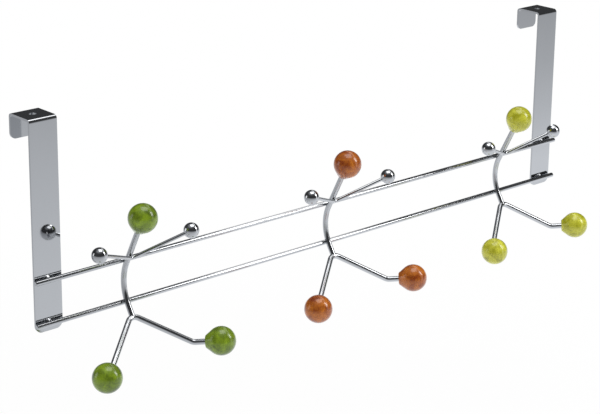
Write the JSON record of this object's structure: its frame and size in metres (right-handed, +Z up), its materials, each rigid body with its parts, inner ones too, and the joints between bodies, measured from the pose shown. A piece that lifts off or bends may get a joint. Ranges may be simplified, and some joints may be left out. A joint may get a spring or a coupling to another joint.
{
  "type": "over door hook",
  "caption": "Chromed over-door hook rack: bent strap brackets carry round wire rails and bent wire coat hooks that end in glossy coloured balls.",
  "frame": {"origin": "midway between the axes of the two screw holes, on the underside plane of the brackets' top plates, where the rack hangs on the door's top edge", "axes": "+X along the rails, +Y from the room into the door, +Z up"},
  "size_m": [0.5046, 0.0813, 0.175],
  "materials": {
    "chrome": "bright mirror plating",
    "green_glaze": "glossy, mottled olive green",
    "orange_glaze": "glossy, mottled burnt orange",
    "yellow_glaze": "glossy, mottled lime yellow"
  },
  "bodies": {
    "root": {"left_bracket": "chrome", "right_bracket": "chrome", "upper_rail": "chrome", "lower_rail": "chrome", "left_spine": "chrome", "left_fork": "chrome", "left_crossbar": "chrome", "left_left_knob": "chrome", "left_right_knob": "chrome", "left_left_ball": "green_glaze", "left_right_ball": "green_glaze", "left_top_ball": "green_glaze", "middle_spine": "chrome", "middle_fork": "chrome", "middle_crossbar": "chrome", "middle_left_knob": "chrome", "middle_right_knob": "chrome", "middle_left_ball": "orange_glaze", "middle_right_ball": "orange_glaze", "middle_top_ball": "orange_glaze", "right_spine": "chrome", "right_fork": "chrome", "right_crossbar": "chrome", "right_left_knob": "chrome", "right_right_knob": "chrome", "right_left_ball": "yellow_glaze", "right_right_ball": "yellow_glaze", "right_top_ball": "yellow_glaze"}
  },
  "joints": []
}
